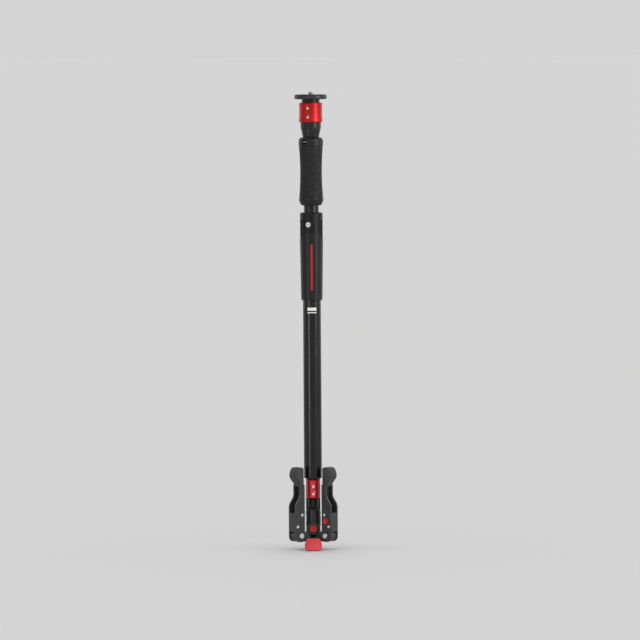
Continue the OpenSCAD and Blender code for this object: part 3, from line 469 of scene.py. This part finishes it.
def make_lock_sign_group():
    """A small padlock printed on a collar, its shackle lifted and moved aside where the sign says open."""
    tree, given, put = new_group("lock sign", [("Radius", 0.02), ("Around", 0.0), ("Up", 0.0),
                                                ("Open", 0.0), ("Size", 1.0)],
                                 [("Mask", "NodeSocketFloat")])
    block_wide, block_tall = 1.9 * MM, 1.5 * MM
    bow_middle, bow_r, bow_thick, bow_legs = 1.9 * MM, 1.25 * MM, 0.35 * MM, 0.6 * MM
    aside = 1.5 * MM
    x, y, z = add(tree, "ShaderNodeSeparateXYZ", {0: object_coords(tree)}).outputs
    angle = maths(tree, "ARCTAN2", x, maths(tree, "MULTIPLY", y, -1.0))
    around = maths(tree, "SUBTRACT", maths(tree, "MULTIPLY", angle, given["Radius"]), given["Around"])
    around = maths(tree, "DIVIDE", around, given["Size"])
    up = maths(tree, "DIVIDE", maths(tree, "SUBTRACT", z, given["Up"]), given["Size"])
    block = maths(tree, "MAXIMUM",
                  maths(tree, "SUBTRACT", maths(tree, "ABSOLUTE", around, 0.0), block_wide),
                  maths(tree, "SUBTRACT", maths(tree, "ABSOLUTE", up, 0.0), block_tall))
    shift = maths(tree, "MULTIPLY", given["Open"], aside)
    lift = maths(tree, "MULTIPLY", shift, 0.5)
    bow_up = maths(tree, "SUBTRACT", maths(tree, "SUBTRACT", up, bow_middle), lift)
    bow_across = maths(tree, "SUBTRACT", around, shift)
    reach = maths(tree, "SQRT", maths(tree, "ADD", maths(tree, "MULTIPLY", bow_up, bow_up),
                                      maths(tree, "MULTIPLY", bow_across, bow_across)), 0.0)
    band = maths(tree, "SUBTRACT", distance_from(tree, reach, bow_r), bow_thick)
    bow = maths(tree, "MAXIMUM", band, maths(tree, "SUBTRACT", -bow_legs, bow_up))
    tree.links.new(inked(tree, maths(tree, "MINIMUM", block, bow)), put["Mask"])
    return tree


edge_group = make_edge_group()
bar_group = make_bar_group()
lock_sign_group = make_lock_sign_group()
grain_group = make_grain_group()
machined_group = make_machined_group()


# how much the grain makes the roughness vary
SPECKLE = 0.06


def surface(name, colours, roughness, group, scales, bump, worn, reach=0.5 * MM, prints=(), **constants):
    """A finish: two tones, a span of roughness, a grain in relief, worn edges and printed marks.

    bump is the relief's strength and depth, worn is the colour that shows through and how much of it, each
    print is a group, its values and an ink, and constants go on the shader's own sockets."""
    material = bpy.data.materials.new(name)
    material.use_nodes = True
    tree = material.node_tree
    shader = tree.nodes["Principled BSDF"]
    grain = add(tree, "ShaderNodeGroup", node_tree=group)
    for label, value in scales.items():
        grain.inputs[label].default_value = value
    edges = add(tree, "ShaderNodeGroup", node_tree=edge_group)
    edges.inputs["Reach"].default_value = reach
    tone = blended(tree, grain.outputs["Tone"], (*colours[0], 1), (*colours[1], 1))
    for mark_group, values, ink in prints:
        mark = add(tree, "ShaderNodeGroup", node_tree=mark_group)
        for label, value in values.items():
            mark.inputs[label].default_value = value
        tone = blended(tree, mark.outputs["Mask"], tone, (*ink, 1))
    bare, amount = worn
    mask = maths(tree, "MULTIPLY", edges.outputs["Mask"], amount)
    tree.links.new(blended(tree, mask, tone, (*bare, 1)), shader.inputs["Base Color"])
    span = between(tree, grain.outputs["Tone"], *roughness)
    speckle = between(tree, grain.outputs["Height"], -SPECKLE, SPECKLE)
    tree.links.new(maths(tree, "ADD", span, speckle), shader.inputs["Roughness"])
    strength, depth = bump
    relief = add(tree, "ShaderNodeBump",
                 {"Strength": strength, "Distance": depth, "Height": grain.outputs["Height"],
                  "Normal": edges.outputs["Normal"]})
    tree.links.new(relief.outputs[0], shader.inputs["Normal"])
    for label, value in constants.items():
        shader.inputs[label.replace("_", " ")].default_value = value
    return material


# inks, tones that more than one finish has, and the refractive index of coatings, plastics and rubber
PRINT_RED = (0.30, 0.022, 0.025)
PRINT_WHITE = (0.66, 0.66, 0.64)
BARE_METAL = (0.13, 0.13, 0.135)
PLASTIC_TONES = ((0.0075, 0.0078, 0.008), (0.011, 0.0113, 0.0115))
COAT_IOR = 1.45


def metal_finish(name, dark, light, gloss=0.3):
    return surface(name, [dark, light], roughness=(0.34, 0.41), group=grain_group, scales={"Scale": 2600.0},
                   bump=(0.35, 0.05 * MM), worn=(BARE_METAL, 0.4), IOR=COAT_IOR, Specular_IOR_Level=gloss)


def black_metal():
    return metal_finish("satin black anodised", (0.009, 0.009, 0.0095), (0.013, 0.013, 0.0135))


# painted shade: the black anodising in a darker tone for the clamp collar, with less gloss as well
def painted_shade_clamp_metal():
    return metal_finish("dull black anodised, darkened as painted shade", (0.005, 0.0052, 0.0054), (0.008, 0.0082, 0.0084), gloss=0.2)


# painted light: the black anodising in a lighter tone, for the stronger light on the base parts and the
# camera plate
def painted_light_black_metal():
    return metal_finish("satin black casting, lightened as painted light", (0.021, 0.021, 0.022), (0.028, 0.028, 0.029))


def tube_finish(name, prints=()):
    return surface(name, [(0.004, 0.0042, 0.0044), (0.0065, 0.0067, 0.0069)], roughness=(0.21, 0.26),
                   group=machined_group, scales={"Across": 1400.0, "Along": 12.0}, bump=(0.12, 0.02 * MM),
                   worn=(BARE_METAL, 0.3), prints=prints, IOR=COAT_IOR, Specular_IOR_Level=0.36)


def black_tube():
    return tube_finish("black anodised tube")


def lower_tube():
    """The lower tube's finish has two plain white bars below the lever."""
    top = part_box("lower_tube")[1][2]
    half_width = 9.0 * MM
    return tube_finish("printed black tube", [
        (bar_group, {"Up": top - drop, "Half width": half_width, "Half height": half_height}, PRINT_WHITE)
        for drop, half_height in ((150 * MM, 3.0 * MM), (157 * MM, 1.0 * MM))])


def plastic_finish(name, prints=()):
    return surface(name, PLASTIC_TONES, roughness=(0.37, 0.43), group=grain_group, scales={"Scale": 1700.0},
                   bump=(0.4, 0.06 * MM), worn=((0.06, 0.06, 0.062), 0.5), prints=prints,
                   IOR=COAT_IOR, Specular_IOR_Level=0.25)


def black_plastic():
    return plastic_finish("moulded black plastic")


def lever_plastic():
    """The lever's finish has a plain red stripe down its front."""
    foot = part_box("lock_lever")[0][2]
    stripe = {"Up": foot + 66 * MM, "Half width": 2.1 * MM, "Half height": 46 * MM}
    return plastic_finish("lever plastic", [(bar_group, stripe, PRINT_RED)])


def red_finish(name, dark, light, prints=(), metal=0.8):
    return surface(name, [dark, light], roughness=(0.37, 0.44), group=machined_group,
                   scales={"Across": 14.0, "Along": 2600.0}, bump=(0.10, 0.02 * MM),
                   worn=((0.70, 0.28, 0.27), 0.5), prints=prints, Metallic=metal, IOR=COAT_IOR)


def red_anodised():
    return red_finish("red anodised", (0.46, 0.020, 0.024), (0.54, 0.026, 0.030))


def collar_signs(node, size, around, closed_up, open_up):
    """Padlocks, closed and open, that tell which way the collar goes."""
    low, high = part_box(node)
    signs = []
    for rise, is_open in ((closed_up, 0.0), (open_up, 1.0)):
        values = {"Radius": high[0], "Around": around, "Up": low[2] + rise, "Open": is_open, "Size": size}
        signs.append((lock_sign_group, values, PRINT_WHITE))
    return signs


def head_red():
    signs = collar_signs("head_collar", size=1.0, around=-6.5 * MM, closed_up=27.5 * MM, open_up=9.5 * MM)
    return red_finish("red anodised, head", (0.36, 0.012, 0.013), (0.43, 0.016, 0.017), signs)


# painted light: the base collar takes the red anodising in a lighter tone, against the shade that the arms
# cast on it
def painted_light_base_red():
    signs = collar_signs("base_collar", size=1.35, around=0.8 * MM, closed_up=23.0 * MM, open_up=8.5 * MM)
    return red_finish("red anodised, base, lightened as painted light", (0.58, 0.030, 0.042), (0.66, 0.038, 0.052), signs, metal=0.5)


def red_pedal():
    return surface("red moulded plastic", [(0.50, 0.044, 0.047), (0.57, 0.052, 0.055)],
                   roughness=(0.40, 0.48), group=grain_group, scales={"Scale": 1500.0},
                   bump=(0.3, 0.05 * MM), worn=((0.70, 0.16, 0.15), 0.5),
                   IOR=COAT_IOR, Specular_IOR_Level=0.4)


def rubber_finish(name, dark, light):
    return surface(name, [dark, light], roughness=(0.50, 0.57), group=grain_group, scales={"Scale": 1300.0},
                   bump=(0.5, 0.1 * MM), worn=((0.06, 0.06, 0.06), 0.6),
                   IOR=COAT_IOR, Specular_IOR_Level=0.25)


def rubber():
    return rubber_finish("black rubber", (0.0125, 0.0128, 0.0128), (0.015, 0.0153, 0.0153))


# painted light: the pads take the sleeve's black rubber in a lighter tone, for the light on their upper
# sides
def pad_rubber():
    return rubber_finish("black pad rubber, lightened as painted light", (0.034, 0.0345, 0.0345), (0.040, 0.0405, 0.0405))


def steel():
    return surface("bright steel", [(0.41, 0.41, 0.41), (0.49, 0.49, 0.48)], roughness=(0.34, 0.44),
                   group=machined_group, scales={"Across": 700.0, "Along": 700.0}, bump=(0.08, 0.02 * MM),
                   worn=((0.6, 0.6, 0.6), 0.4), reach=0.25 * MM, Metallic=1.0)


def nylon():
    return surface("dark nylon", [(0.055, 0.055, 0.058), (0.075, 0.075, 0.078)], roughness=(0.45, 0.55),
                   group=grain_group, scales={"Scale": 1500.0}, bump=(0.2, 0.04 * MM),
                   worn=((0.12, 0.12, 0.12), 0.3), IOR=COAT_IOR, Specular_IOR_Level=0.4)


def floor_paper():
    material = bpy.data.materials.new("pale floor")
    material.use_nodes = True
    tree = material.node_tree
    shader = tree.nodes["Principled BSDF"]
    grain = add(tree, "ShaderNodeGroup", node_tree=grain_group)
    grain.inputs["Scale"].default_value = FLOOR_GRAIN
    tree.links.new(blended(tree, grain.outputs["Height"], *FLOOR_TONES), shader.inputs["Base Color"])
    shader.inputs["Roughness"].default_value = FLOOR_ROUGHNESS
    return material


finishes = {maker.__name__: maker() for maker in (
    black_metal, painted_shade_clamp_metal, painted_light_black_metal, black_tube, lower_tube, black_plastic, lever_plastic,
    red_anodised, head_red, painted_light_base_red, red_pedal, rubber, pad_rubber, steel, nylon)}

slots = {part["node"]: part["material_slot"] for part in frame["record"]["subparts"]}
bodies = {node: body for body, nodes in frame["record"]["behaviour"]["bodies"].items() for node in nodes}
for node, shown in frame["nodes"].items():
    for material_slot in shown.material_slots:
        material_slot.material = finishes[node if node in finishes else slots[node]]

make_camera()
make_light(make_floor(floor_paper()))


def refine(node, width, segments=2, above=25.0, finish=None):
    """Replaces a node by its own shape with rounded edges, in the finish of its slot or one made for it."""
    piece = copied(node, node + "_body")
    close(piece)
    round_edges(piece, width, segments, above)
    place(piece, finishes[finish or slots[node]], bodies[node], slots[node], node)


def make_camera_stud():
    """The 3/8 inch stud: a plain shank in the plate, and above the facing a real thread with a blunt end."""
    low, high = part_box("camera_screw")
    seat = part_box("plate_facing")[1][2]
    chamfer = 0.3 * MM
    shank = turned("camera_stud_shank", [(STUD_SHANK_R, low[2]), (STUD_SHANK_R, seat - chamfer),
                                         (STUD_SHANK_R - chamfer, seat)], 96, hollow=False)
    place(shank, finishes["steel"], "mast", "steel", "camera_screw")
    root = STUD_R - 0.61 * STUD_PITCH
    crest_low, crest_high = 0.43 * STUD_PITCH, 0.57 * STUD_PITCH
    blunt, blunt_share = 0.7 * MM, 0.84
    sunk = 0.5 * MM
    start = seat - 2.4 * STUD_PITCH
    turns, steps = 7, 64
    thread = drawn("camera_stud_thread", [(root, 0, start), (STUD_R, 0, start + crest_low),
                                          (STUD_R, 0, start + crest_high), (root, 0, start + STUD_PITCH)])
    apply_modifier(thread, "SCREW", axis="Z", screw_offset=STUD_PITCH, iterations=turns, steps=steps,
                   render_steps=steps, use_merge_vertices=True, merge_threshold=MERGED)
    bpy.ops.object.mode_set(mode="EDIT")
    merge()
    cut_off((0, 0, seat - sunk), (0, 0, -1))
    cut_off((0, 0, high[2] - blunt), (0, 0, 1))
    bpy.ops.mesh.extrude_region_move(TRANSFORM_OT_translate={"value": (0, 0, blunt)})
    bpy.ops.transform.resize(value=(blunt_share, blunt_share, 1), center_override=(0, 0, high[2]))
    close(thread)
    place(thread, finishes["steel"], "mast", "steel", "camera_screw")


def make_plate_facing():
    """Rubber facing with rings that grip the head screwed down on it."""
    low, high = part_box("plate_facing")
    z0, z1 = low[2], high[2]
    inner, outer = STUD_SHANK_R + 0.2 * MM, high[0]
    valley = z1 - 0.5 * MM
    edge_in, edge_down = 0.5 * MM, 0.9 * MM
    outline = [(inner, z0), (inner, valley)]
    pitch = 2.05 * MM
    r = inner + 1.2 * MM
    while r + pitch < outer - 1 * MM:
        outline += [(r, valley), (r + 0.2 * MM, z1), (r + 1.1 * MM, z1), (r + 1.3 * MM, valley)]
        r += pitch
    outline += [(outer - edge_in, valley), (outer, z1 - edge_down), (outer, z0), (inner, z0)]
    facing = turned("plate_facing_ribbed", outline, 144)
    place(facing, finishes["rubber"], "mast", "rubber", "plate_facing")


def make_grip_sleeve():
    """Waisted rubber sleeve, covered between two plain ends with a net of low diamonds."""
    low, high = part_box("grip_sleeve")
    z0, z1 = low[2], high[2]
    relief = 0.45 * MM
    flank = 0.32 * MM
    plain = 3.2 * MM
    net_low, net_high = z0 + plain, z1 - plain
    step = 0.3 * MM
    end_r, lip_r, lip_rise = high[0] - 1.2 * MM, high[0] - 0.3 * MM, 0.6 * MM
    rows, columns = 30, 60

    def radius(z):
        return GRIP_WAIST_R + (high[0] - GRIP_WAIST_R) * (2 * (z - z0) / (z1 - z0) - 1) ** 2

    def in_net(face):
        return net_low < face.center.z < net_high and face.center.xy.length > SLEEVE_OUTSIDE_R

    outline = [(SLEEVE_BORE_R, z0), (end_r, z0), (lip_r, z0 + lip_rise), (radius(net_low), net_low - step)]
    for row in range(rows + 1):
        z = net_low + (z1 - z0 - 2 * plain) * row / rows
        outline.append((radius(z) - relief, z))
    outline += [(radius(net_high), net_high + step), (lip_r, z1 - lip_rise), (end_r, z1),
                (SLEEVE_BORE_R, z1), (SLEEVE_BORE_R, z0)]
    sleeve = turned("grip_sleeve_diamonds", outline, columns)
    bpy.ops.object.mode_set(mode="EDIT")
    pick(sleeve, "FACE", in_net)
    bpy.ops.mesh.poke()
    pick(sleeve, "EDGE", lambda e: is_grid_edge(sleeve, e, net_low, net_high))
    bpy.ops.mesh.dissolve_edges(use_verts=False)
    pick(sleeve, "FACE", lambda f: in_net(f) and len(f.vertices) == 4)
    bpy.ops.mesh.inset(thickness=flank, depth=relief, use_individual=True)
    close(sleeve, 20)
    place(sleeve, finishes["rubber"], "mast", "rubber", "grip_sleeve")


def is_grid_edge(piece, edge, z0, z1):
    """True for an edge along or round the sleeve, inside its net; the sloping ones are the diamonds' own."""
    margin = 0.01 * MM
    a, b = (piece.data.vertices[v].co for v in edge.vertices)
    middle = (a + b) / 2
    if not (z0 + margin < middle.z < z1 - margin and middle.xy.length > SLEEVE_OUTSIDE_R):
        return False
    level = abs(a.z - b.z) < MERGED
    upright = abs(math.atan2(a.y, a.x) - math.atan2(b.y, b.x)) < 1e-4
    return level or upright


def make_pads():
    """Rubber pads: one is drawn up from its narrow root at the rear foot, with a grooved sole and a domed
    top, and copied to the other feet."""
    low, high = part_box("rear_pad")
    inner, outer, z0, z1 = low[1], high[1], low[2], high[2]
    half = high[0]
    tall = z1 - z0
    knee = 0.5 * tall
    root = 37.2 * MM
    belly = 13.65 * MM
    slack = 1.2 * MM
    toe = 10.2 * MM
    corner = 3.6 * MM
    groove = 0.9 * MM
    grooves = (14.6, 18.4, 22.2, 26.0, 29.4)
    crown, crown_steps = 3.6 * MM, 5
    toe_end = tall - 0.4 * MM

    def reach(rise):
        """How far out the sole is: sloping from the root, then nearly upright, then round the toe."""
        if rise < belly:
            return root + (outer - slack - root) * rise / belly
        if rise < knee:
            return outer - slack * (knee - rise) / (knee - belly)
        return outer - toe + toe * math.sqrt(max(0.0, 1 - ((rise - knee) / knee) ** 2))

    def sides(level):
        rise, sunk, drawn_in = level
        return inner + drawn_in, reach(min(rise, toe_end)) - sunk, half - drawn_in

    levels = [(rise * MM, 0.0, 0.0) for rise in (0, 3, 6.5, 10, 13.65)]
    for start in grooves:
        for rise, sunk in ((0, 0), (0.25, groove), (1.25, groove), (1.5, 0)):
            levels.append(((start + rise) * MM, sunk, 0.0))
    for step in range(crown_steps + 1):
        a = math.pi / 2 * step / crown_steps
        levels.append((tall - crown * (1 - math.sin(a)), 0.0, crown * (1 - math.cos(a))))
    deselect()
    bpy.ops.mesh.primitive_plane_add(size=1, location=(0, (inner + root) / 2, z0))
    pad = begin("rear_pad_moulded")
    bpy.ops.mesh.select_all(action="SELECT")
    bpy.ops.transform.resize(value=(2 * half, root - inner, 1), center_override=(0, (inner + root) / 2, z0))
    bpy.ops.mesh.select_mode(type="VERT")
    bpy.ops.mesh.bevel(offset=corner, segments=6, affect="VERTICES")
    bpy.ops.mesh.select_mode(type="FACE")
    bpy.ops.mesh.select_all(action="SELECT")
    for here, there in zip(levels, levels[1:]):
        (back, front, side), (next_back, next_front, next_side) = sides(here), sides(there)
        bpy.ops.mesh.extrude_region_move(
            TRANSFORM_OT_translate={"value": (0, next_back - back, there[0] - here[0])})
        bpy.ops.transform.resize(value=(next_side / side, (next_front - next_back) / (front - back), 1),
                                 center_override=(0, next_back, z0 + there[0]))
    close(pad)
    round_edges(pad, 0.9 * MM, 3, 50)
    # painted light: every pad takes the lightened rubber
    for foot, angle in FOOT_TURNS.items():
        other = turned_copy(pad, foot + "_pad_moulded", angle)
        place(other, finishes["pad_rubber"], foot + "_foot", "rubber", foot + "_pad")
    place(pad, finishes["pad_rubber"], "rear_foot", "rubber", "rear_pad")


def make_pedal():
    """Lock pedal: a rounded red tread with a raised panel, on a black arm that goes into the hub."""
    along = Vector((0, -math.cos(TONGUE_SLOPE), -math.sin(TONGUE_SLOPE)))
    up = Vector((0, -math.sin(TONGUE_SLOPE), math.cos(TONGUE_SLOPE)))
    root = Vector(TONGUE_ROOT)
    joint = root + along * 2.0 * MM
    flush = 0.02 * MM
    arm = copied("lock_pedal", "pedal_arm")
    cut_off(joint, along)
    for side in (-1, 1):
        cut_off((side * (PEDAL_ARM_WIDTH / 2 - flush), 0, 0), (side, 0, 0))
    close(arm)
    round_edges(arm, 0.4 * MM)
    # painted light: the arm, black anodised like its slot, takes the lighter tone so that it is less dark in
    # the cap's shade
    place(arm, finishes["painted_light_black_metal"], "pedal", "black_metal", "lock_pedal")
    neck, neck_at, neck_r = 13.0 * MM, 0.6 * MM, 6.0 * MM
    wide, wide_at, wide_r = TONGUE_WIDTH / 2, 16.0 * MM, 12.0 * MM
    tip_at, tip_r = TONGUE_LENGTH + 0.7 * MM, 9.0 * MM
    panel_down = 0.5 * MM
    edge_r, border = 1.1 * MM, 1.4 * MM
    groove, groove_down, flank = 0.5 * MM, 0.5 * MM, 0.7 * MM
    plan = rounded_corners([(-neck, neck_at, neck_r), (neck, neck_at, neck_r), (wide, wide_at, wide_r),
                            (wide, tip_at, tip_r), (-wide, tip_at, tip_r), (-wide, wide_at, wide_r)])
    sole = [root - up * TONGUE_THICK + Vector((x, 0, 0)) + along * down for x, down in plan]
    tread = drawn("pedal_tread", sole + sole[:1])
    bpy.ops.object.mode_set(mode="EDIT")
    merge()
    bpy.ops.mesh.edge_face_add()
    bpy.ops.mesh.extrude_region_move(TRANSFORM_OT_translate={"value": up * (TONGUE_THICK - panel_down)})
    outward_faces()
    pick(tread, "FACE", lambda f: abs(f.normal.dot(up)) > FACING)
    bpy.ops.mesh.region_to_loop()
    bpy.ops.mesh.bevel(offset=edge_r, segments=4, affect="EDGES")
    pick(tread, "FACE", lambda f: f.normal.dot(up) > FACING and f.area > 100 * MM * MM)
    bpy.ops.mesh.inset(thickness=border, depth=0)
    bpy.ops.mesh.inset(thickness=groove, depth=-groove_down)
    bpy.ops.mesh.inset(thickness=flank, depth=groove_down)
    middle = root + along * TONGUE_LENGTH / 2
    level = -panel_down
    for rise, share in ((0.25 * MM, 0.88), (0.15 * MM, 0.84), (0.07 * MM, 0.76), (0.03 * MM, 0.6)):
        level += rise
        bpy.ops.mesh.extrude_region_move(TRANSFORM_OT_translate={"value": up * rise})
        bpy.ops.transform.resize(value=(share, share, share), center_override=middle + up * level)
    close(tread)
    place(tread, finishes["red_pedal"], "pedal", "red_pedal", "lock_pedal")


def make_buttons():
    """Foot buttons, each with a shallow dish for the thumb in its outer face."""
    rim = 1.4 * MM
    dish = ((0.7 * MM, 0.2 * MM), (0.8 * MM, 0.12 * MM), (0.8 * MM, 0.05 * MM))
    for joint in frame["record"]["behaviour"]["joints"]:
        node = joint["child"]
        if not node.endswith("_button"):
            continue
        out = -Vector(joint["axis"])
        front = max(v.co.dot(out) for v in frame["nodes"][node].data.vertices)
        button = copied(node, node + "_body")
        pick(button, "FACE", lambda f: f.normal.dot(out) > FACING and f.center.dot(out) > front - 0.1 * MM)
        bpy.ops.mesh.inset(thickness=rim, depth=0)
        for inward, down in dish:
            bpy.ops.mesh.inset(thickness=inward, depth=-down)
        close(button)
        round_edges(button, 0.8 * MM, 3, 25)
        place(button, finishes[slots[node]], bodies[node], slots[node], node)


def make_cap_inlay():
    """A plain red roundel let into the cap of the ball housing."""
    low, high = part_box("front_cap")
    radius, thick, proud = 6.4 * MM, 0.9 * MM, 0.05 * MM
    rim, groove = 1.3 * MM, 0.3 * MM
    middle = (0, low[1] - proud, (low[2] + high[2]) / 2)
    deselect()
    bpy.ops.mesh.primitive_cylinder_add(vertices=72, radius=radius, depth=thick, location=middle,
                                        rotation=(math.pi / 2, 0, 0))
    inlay = begin("cap_roundel")
    pick(inlay, "FACE", lambda f: f.normal.y < -FACING)
    bpy.ops.mesh.inset(thickness=rim, depth=0)
    bpy.ops.mesh.inset(thickness=groove, depth=-groove)
    close(inlay)
    round_edges(inlay, 0.12 * MM, 2, 30)
    place(inlay, finishes["red_anodised"], "base", "red_anodised")


def make_springs():
    """Each coil spring that a collar or button presses is copied, with a mesh of its own."""
    for joint in frame["record"]["behaviour"]["joints"]:
        for pressed in joint.get("deforming_nodes", ()):
            node = pressed["node"]
            spring = close(copied(node, node + "_coil"))
            place(spring, finishes[slots[node]], bodies[node], slots[node], node)
            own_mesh(spring)


for node in ("head_socket", "grip_top_ring", "grip_bottom_ring", "pan_hub",
             "ball_stem", "clamp_screw", "left_bolt", "right_bolt", "rear_bolt"):
    refine(node, 0.5 * MM)
# painted light: these parts and the front cap take the black anodising lightened; painted shade: the clamp
# collar takes it darkened
for node in ("camera_plate", "ball_housing", "base_hub", "left_arm", "right_arm", "rear_arm"):
    refine(node, 0.8 * MM, 3, finish="painted_light_black_metal")
refine("front_cap", 1.1 * MM, 4, finish="painted_light_black_metal")
refine("clamp_collar", 0.5 * MM, finish="painted_shade_clamp_metal")
refine("lock_lever", 0.7 * MM, finish="lever_plastic")
refine("head_collar", 0.7 * MM, 3, finish="head_red")
# painted light: the base collar takes the red anodising lightened
refine("base_collar", 0.6 * MM, 3, finish="painted_light_base_red")
make_camera_stud()
make_plate_facing()
make_grip_sleeve()
make_pads()
make_pedal()
make_buttons()
make_cap_inlay()
make_springs()
